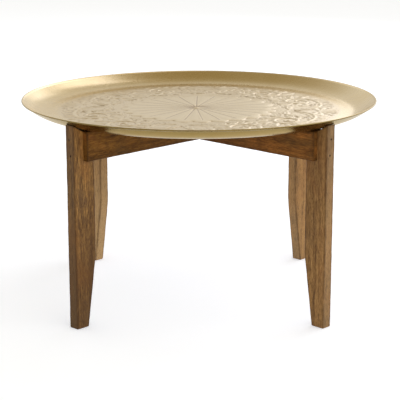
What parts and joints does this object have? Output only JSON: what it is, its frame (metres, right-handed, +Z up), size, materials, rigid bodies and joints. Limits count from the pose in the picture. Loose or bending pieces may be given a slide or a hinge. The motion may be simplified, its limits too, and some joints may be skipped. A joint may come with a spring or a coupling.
{
  "type": "tray table",
  "caption": "Low round coffee table: a loose embossed brass tray with a flared side, resting on two crossed wooden frames with tapered plank legs.",
  "frame": {"origin": "on the floor, straight below the centre of the tray", "axes": "+Z up; the front is towards -Y, half way between two legs; the legs stand on the diagonals; +X is to the right seen from the front"},
  "size_m": [0.7499, 0.75, 0.43],
  "materials": {
    "tray_brass": "pale champagne brass, embossed with a rosette and scrolling leaves, satin",
    "leg_wood": "mango wood, brown stain, matt wax, grain along the leg",
    "bar_wood": "mango wood, brown stain, matt wax, grain along the bar",
    "nail_steel": "dark, punched below the wood"
  },
  "bodies": {
    "lower_frame": {"lower_bar": "bar_wood", "leg_front_left": "leg_wood", "leg_rear_right": "leg_wood", "lower_nails": "nail_steel"},
    "upper_frame": {"upper_bar": "bar_wood", "leg_front_right": "leg_wood", "leg_rear_left": "leg_wood", "upper_nails": "nail_steel"},
    "tray": {"tray": "tray_brass"}
  },
  "joints": [
    {"name": "frame_lift", "type": "slide", "parent": "lower_frame", "child": "upper_frame", "axis": [0, 0, 1], "range_m": [0, 0.06]},
    {"name": "tray_lift", "type": "slide", "parent": "upper_frame", "child": "tray", "axis": [0, 0, 1], "range_m": [0, 0.1]}
  ]
}
